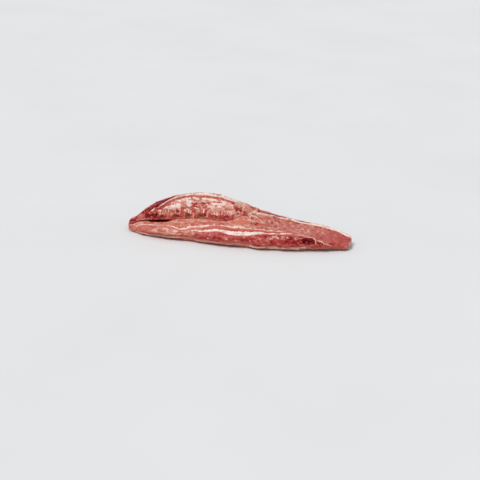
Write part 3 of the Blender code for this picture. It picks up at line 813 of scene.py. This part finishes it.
class Shader:
    """A material whose nodes are added and joined one call at a time."""

    def __init__(self, name):
        self.material = bpy.data.materials.new(name)
        self.material.use_nodes = True
        self.nodes = self.material.node_tree.nodes
        self.place = self.add("TexCoord").outputs["Object"]

    def add(self, kind, inputs=(), **settings):
        """A node of a kind, with its settings and its inputs: a value, or another node's output."""
        node = self.nodes.new("ShaderNode" + kind)
        for key, value in settings.items():
            setattr(node, key, value)
        self.join(node, dict(inputs))
        return node

    def join(self, node, inputs):
        for key, value in inputs.items():
            if isinstance(value, bpy.types.NodeSocket):
                self.material.node_tree.links.new(value, node.inputs[key])
            else:
                node.inputs[key].default_value = value

    def finish(self, **inputs):
        """The material, with the inputs of its surface, whose names have _ for a space."""
        surface = self.nodes["Principled BSDF"]
        self.join(surface, {key.replace("_", " "): value for key, value in inputs.items()})
        return self.material

    def math(self, operation, a, b, clamp=False):
        return self.add("Math", {0: a, 1: b}, operation=operation, use_clamp=clamp).outputs[0]

    def times(self, a, b):
        return self.math("MULTIPLY", a, b)

    def noise(self, size, detail):
        """Noise from 0 to 1 with features of a size (x, y, z) in mm."""
        scale = self.add("Mapping", {"Vector": self.place, "Scale": [1000 / s for s in size]})
        found = self.add("TexNoise", {"Vector": scale.outputs[0], "Scale": 1.0, "Detail": detail,
                                      "Roughness": 0.55})
        return found.outputs["Fac"]

    def centred(self, value, amount):
        """The value, taken from 0..1 to -amount..amount."""
        return self.times(self.math("SUBTRACT", value, 0.5), 2 * amount)

    def attribute(self, name):
        return self.add("Attribute", attribute_name=name).outputs["Fac"]

    def mixed(self, share, a, b):
        return self.add("MixRGB", {0: share, 1: a, 2: b}).outputs[0]

    def bump(self, height, strength, distance):
        return self.add("Bump", {"Height": height, "Strength": strength, "Distance": distance}).outputs[0]

    def ramp(self, value, stops):
        node = self.add("ValToRGB", {0: value})
        elements = node.color_ramp.elements
        while len(elements) < len(stops):
            elements.new(0.5)
        for element, (place, colour) in zip(elements, stops):
            element.position = place
            element.color = (*colour, 1)
        return node.outputs["Color"]


def raw_meat():
    """Wet raw pork: lean and fat by tone, with mottling, fibres, fine veins of fat and a wet film."""
    shader = Shader("raw pork")
    tone = shader.attribute("tone")
    mottle = shader.noise((4.5, 3, 3), 4)
    speckle = shader.noise((1.4, 1.2, 1.2), 2)
    lengthwise = shader.noise((12, 1.6, 1.6), 3)
    vertical = shader.noise((1.3, 4, 8), 3)
    wet = shader.noise((20, 12, 12), 3)
    share = shader.attribute("upright")
    fibre = shader.add("Mix", {0: share, 2: lengthwise, 3: vertical}, data_type="FLOAT").outputs[0]
    change = shader.math("ADD", shader.centred(mottle, 0.3), shader.centred(fibre, 0.24))
    change = shader.math("ADD", change, shader.centred(speckle, 0.12))
    change = shader.times(change, shader.attribute("marbling"))
    colour = shader.ramp(shader.math("ADD", tone, change, clamp=True), TONE_COLOURS)
    height = shader.math("ADD", shader.times(mottle, 0.6), fibre)
    height = shader.math("ADD", height, shader.times(speckle, 0.3))
    # Specular and coat fall where the tone is deep: painted shade on the reflections, standing in for deep
    # pockets that see little of the sky.
    gloss = shader.add("MapRange", {"Value": tone, "From Min": 0.05, "From Max": 0.3,
                                    "To Min": 0.2, "To Max": 1.0}).outputs[0]
    return shader.finish(
        Base_Color=shader.mixed(shader.times(shader.attribute("warm"), 0.55), colour, (*WARM_COLOUR, 1)),
        Normal=shader.bump(height, 0.55, 0.0006),
        Roughness=shader.add("MapRange", {"Value": wet, "To Min": 0.25, "To Max": 0.5}).outputs[0],
        Subsurface_Weight=0.25,
        Subsurface_Radius=(1.0, 0.35, 0.2),
        Subsurface_Scale=0.003,
        Specular_IOR_Level=shader.times(gloss, 0.3),
        Coat_Weight=shader.times(gloss, 0.12),
        Coat_Roughness=0.18,
    )


def sawn_bone():
    """A sawn rib end: brown marrow in fine struts inside a paler ring, more or less bloody."""
    shader = Shader("sawn rib bone")
    pores = shader.noise((1.2, 1.2, 1.2), 3)
    stain = shader.noise((4, 4, 4), 2)
    value = shader.math("ADD", shader.attribute("ring"), shader.centred(pores, 0.5))
    value = shader.math("ADD", value, shader.centred(stain, 0.6), clamp=True)
    bone, blood = shader.ramp(value, BONE_COLOURS), shader.ramp(value, BLOOD_COLOURS)
    return shader.finish(
        Base_Color=shader.mixed(shader.attribute("blood"), bone, blood),
        Normal=shader.bump(pores, 0.6, 0.0005),
        Roughness=0.5,
        Specular_IOR_Level=0.2,
    )


def pale_floor():
    shader = Shader("pale floor")
    cloud = shader.noise((400, 400, 400), 2)
    return shader.finish(Base_Color=shader.ramp(cloud, FLOOR_COLOURS), Roughness=0.7)


# --- Pieces ---


def make_meat(material):
    surface = Surface()
    tone = paint(surface)
    surface.stand_out(fine_relief(surface, tone))
    values = {"tone": tone, "upright": surface.sawn, "marbling": marbling(surface), "warm": warmth(surface)}
    rings, values = round_ends(surface.points, values)
    values["tone"] = paint_cuts(rings, values["tone"])
    meat = loft("rack_meat", [(fall_back(rings), values)])
    meat.data.materials.append(material)
    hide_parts("meat")
    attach(meat, "root")
    return meat


BONE_SIDES = 36
BONE_INSIDE = 0.012  # how far the modelled rib end runs back into the meat
BONE_PROUD = -0.0001
BONE_BLOOD = (1.0, 0.75, 0.15, 0.0, 0.05, 0.9, 1.0)  # how bloody each rib end is, from the left
# The sawn end from its rim to its middle: share of the size, how far it sinks, paleness.
BONE_FACE = (
    (0.99, 0.0004, 0.42), (0.93, 0.0001, 0.54), (0.82, 0.0, 0.52), (0.68, 0.0002, 0.44),
    (0.48, 0.0005, 0.38), (0.27, 0.0007, 0.36), (0.09, 0.0007, 0.36),
)
BONE_SQUARE = 2.7  # between an ellipse, 2, and a rectangle


def bone_outline(rib, angle):
    """How far out the rib's uneven outline lies at an angle, against a plain oval."""
    at = Vector((math.cos(angle), math.sin(angle), rib * 3.1))
    square = (abs(at.x) ** BONE_SQUARE + abs(at.y) ** BONE_SQUARE) ** (-1 / BONE_SQUARE)
    return square * (0.94 + 0.24 * noise.noise(at * 0.8) + 0.1 * noise.noise(at * 2.4))


def make_bones(material):
    steps = [(1.0, BONE_INSIDE, 0.4), (1.0, 0.0, 0.4)]
    steps += [(share, sunk - BONE_PROUD, pale) for share, sunk, pale in BONE_FACE]
    share, back, pale = np.array(steps).T[..., None]
    angles = np.linspace(0, 2 * math.pi, BONE_SIDES, endpoint=False)
    for i, (x, y, z, up, slim) in enumerate(rib_places()):
        out = slim * share * [bone_outline(i, angle) for angle in angles]
        across = BONE_HALF_WIDTH * out * np.cos(angles)
        raised = RIB_HALF_HEIGHT * out * np.sin(angles)
        rings = [x + across, y + up[0] * raised + up[1] * back, z + up[1] * raised - up[0] * back]
        rings = np.stack(rings, -1)
        ring = pale + 0.5 * lumps(rings, 0.005) - 0.08 * np.sin(angles)
        blood = np.full(ring.shape, BONE_BLOOD[i])
        bone = loft(f"rib_end_{i + 1}", [(rings, {"ring": ring, "blood": blood})])
        bone.data.materials.append(material)
        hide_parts(f"rib_{i + 1}")
        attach(bone, "root")


# Loose tissue on the surface, in millimetres: path through (x, y, z), width, thickness, lift, tone.
FAT_STRINGS = (
    (((-8, -9.5, 66.8), (-2.4, -9, 64.4), (7.2, -8, 57.3), (16, -8.5, 50.1),
      (20.1, -8.5, 47)), 2, 1, 0.2, PALE),
    (((20, -6, 48.5), (24.4, -7.7, 44.4), (30, -7, 44), (34.5, -9.5, 42.6),
      (37.2, -12.5, 41.5)), 2.6, 1.2, 0.2, FAT + 0.04),
    (((22.5, -21.5, 41.1), (28, -22.5, 40.5), (32.5, -26.2, 39.6)), 2.4, 1.1, 0.1, FAT),
    (((-12.7, -26, 39.5), (-4, -28.5, 40), (6, -29, 40.5)), 1.8, 0.8, 0.1, PALE),
    (((-164, -32.5, 48.5), (-153.3, -28.4, 56.3), (-144.2, -24.4, 63.4),
      (-132.8, -21.6, 70.6)), 2.2, 1.2, 0.3, FAT + 0.04),
    (((70, -24, 32), (76, -21.5, 31.6), (84, -21.5, 31)), 1.6, 0.7, 0.1, FAT),
)
MEMBRANES = (
    (((136, -42, 27.2), (143.5, -37, 26.2), (152, -35, 25), (157.5, -37.5, 23.5), (160, -42.5, 20.5),
      (159, -46.5, 17)), 3, 1.4, 0.8, PALE + 0.08),
    (((159, -38.5, 22.8), (164.4, -37, 21.5), (170, -37.8, 19.8), (174.5, -39.8, 17.8),
      (184, -37.2, 15), (192, -33.5, 13)), 3, 1.4, 0.8, PALE + 0.06),
    (((122, -56, 26.2), (129, -52, 26.2), (135, -47.5, 26.2)), 2.6, 1.2, 0.6, PINK + 0.06),
    (((129, -59, 16.5), (137, -57, 15), (146, -52, 14), (156, -46.5, 14)), 2.6, 1.4, 0.6, PINK - 0.06),
)
RAGGED_STRIPS = (
    (((-193, -37, 31), (-183.8, -34.5, 40), (-174.4, -31, 49), (-164.3, -27, 56.5), (-154.2, -23, 63),
      (-144.9, -20.5, 68), (-132.9, -19, 73)), 4.2, 1.8, 1, RED - 0.04),
    (((-186, -29, 40), (-176, -24.5, 49.5), (-166, -21.5, 57.5), (-156, -18.5, 64),
      (-148, -15, 68)), 4, 1.8, 0.8, RED - 0.1),
    (((40, 12.5, 49), (50, 17.5, 45.5), (60, 22.5, 42), (70, 26.5, 38.5),
      (80, 30, 36.5)), 3, 1.4, 0.3, LEAN - 0.06),
)
STRIP_STEP = 0.0009
STRIP_SIDES = 10
STRIP_RAGGED = 0.45
STRIP_MARBLING = 0.6
# Small scraps beside the edges, in metres: (from x, to x), guide number, spread, how many, tones.
SCRAPS = (
    ((-0.195, -0.12), 14.97, 0.006, 26, (RED - 0.08, RED, LEAN, PINK)),
    ((-0.12, 0.02), 15.0, 0.003, 16, (PINK, PALE, FAT)),
    ((0.02, 0.05), 6.6, 0.01, 12, (RED, PINK, PALE, FAT)),
    ((0.066, 0.125), 8.1, 0.004, 12, (PINK, PALE, FAT)),
)
SCRAP_SIZES = (0.001, 0.0022)
SCRAP_LENGTHS = (1.5, 4.5)  # against the size


def on_surface(rack, points):
    """The nearest places on the rack, and its outward direction there."""
    found = [rack.find_nearest(Vector(point))[:2] for point in points]
    places, outward = np.array(found).transpose(1, 0, 2)
    for _ in range(3):
        outward[1:-1] = (outward[:-2] + 2 * outward[1:-1] + outward[2:]) / 4
    return places, unit(outward)


def strand(rack, seed, path, width, thickness, lift, tone):
    """Rings and values of one piece along a path on the rack, a closed lens in cross-section."""
    table = np.column_stack([np.arange(len(path)), path])
    reach = length(np.diff(path, axis=0)).sum()
    share = np.linspace(0, 1, max(5, int(reach / STRIP_STEP)))
    points = np.stack([smooth(table, share * (len(path) - 1), column) for column in (1, 2, 3)], -1)
    places, outward = on_surface(rack, points)
    waves = ((0.0035, 0), (0.006, 9))  # size, and place in the noise
    wander = [[(s * reach / size, seed * 1.7, row) for s in share] for size, row in waves]
    uneven, sway = lumps(wander, 1)
    taper = (1 - np.abs(2 * share - 1) ** 3) ** 0.6 + 0.02
    wide = (width / 2 * taper * (1 + STRIP_RAGGED * 1.5 * uneven))[:, None]
    high = (thickness / 2 * taper)[:, None]
    along = np.gradient(places, axis=0) + 0.1 * np.gradient(points, axis=0)
    sideways = unit(np.cross(along, outward))
    middle = places + outward * (lift * taper * (0.6 + 0.8 * sway))[:, None]
    middle += sideways * (STRIP_RAGGED * width * sway)[:, None]
    angle = np.linspace(0, 2 * math.pi, STRIP_SIDES, endpoint=False)[:, None]
    across, upward = (sideways * wide)[:, None], (outward * high)[:, None]
    rings = middle[:, None] + across * np.cos(angle) + upward * np.sin(angle)
    mottle = grain(rings, 4, seed)
    plain = np.zeros(mottle.shape)
    return rings, {"tone": np.clip(tone + 0.12 * mottle, 0, 1), "upright": plain,
                   "marbling": plain + STRIP_MARBLING, "warm": plain}


def make_tissue(name, rack, pieces, material):
    """Thin pieces that follow the rack's surface, as one object."""
    made = loft(name, [strand(rack, seed, *piece) for seed, piece in enumerate(pieces)])
    made.data.materials.append(material)
    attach(made, "root")


def strands(rows):
    """Pieces of tissue in metres, from a table in millimetres."""
    return [(milli(*path), *milli(sizes)[0], tone) for path, *sizes, tone in rows]


def scraps():
    """Short flat pieces scattered beside the rack's edges."""
    draw = np.random.default_rng(5)
    pieces = []
    for (low, high), guide, spread, count, tones in SCRAPS:
        for _ in range(count):
            x = draw.uniform(low, high)
            guides = guide_points(np.array([x / LENGTH + 0.5]))[:, 0]
            near, far = guides[int(guide)], guides[min(int(guide) + 1, 15)]
            y, z = near + (far - near) * (guide % 1) + draw.normal(0, spread / 2, 2)
            size = draw.uniform(*SCRAP_SIZES)
            reach = size * draw.uniform(*SCRAP_LENGTHS) * np.array([1, *draw.normal(0, 0.35, 2)]) / 2
            bend = draw.normal(0, 0.3, 3) * size
            middle = np.array([x, y, z])
            path = (middle - reach, middle + bend, middle + reach)
            pieces.append((path, 1.3 * size, 0.6 * size, 0.0, draw.choice(tones)))
    return pieces


def make_floor():
    bpy.ops.mesh.primitive_plane_add(size=FLOOR_SIZE)
    floor = bpy.context.active_object
    floor.name = "floor"
    floor.data.materials.append(pale_floor())


def make_camera():
    data = bpy.data.cameras.new("camera")
    data.lens = CAMERA_LENS
    camera = placed("camera", data)
    turn = Euler((math.radians(90 - CAMERA_TILT), 0, math.radians(CAMERA_TURN))).to_matrix()
    roll = Euler((0, 0, math.radians(CAMERA_ROLL))).to_matrix()
    camera.matrix_world = (turn @ roll).to_4x4()
    camera.location = CAMERA_PLACE
    bpy.context.scene.camera = camera


def make_light():
    data = bpy.data.lights.new("key", "SUN")
    data.energy = SUN_STRENGTH
    data.angle = math.radians(SUN_SOFTNESS)
    sun = placed("key", data)
    sun.rotation_euler = (-Vector(SUN_FROM)).to_track_quat("-Z", "Y").to_euler()
    world = bpy.data.worlds.new("studio")
    world.use_nodes = True
    background = world.node_tree.nodes["Background"]
    background.inputs["Color"].default_value = (*SKY_COLOUR, 1)
    background.inputs["Strength"].default_value = SKY_STRENGTH
    bpy.context.scene.world = world
    bpy.context.scene.view_settings.view_transform = "Standard"


make_camera()
make_light()
make_floor()
pork = raw_meat()
meat = make_meat(pork).data
make_bones(sawn_bone())
rack = BVHTree.FromPolygons([v.co for v in meat.vertices], [p.vertices for p in meat.polygons])
make_tissue("fat_strings", rack, strands(FAT_STRINGS), pork)
make_tissue("torn_membranes", rack, strands(MEMBRANES), pork)
make_tissue("ragged_strips", rack, strands(RAGGED_STRIPS), pork)
make_tissue("scraps", rack, scraps(), pork)
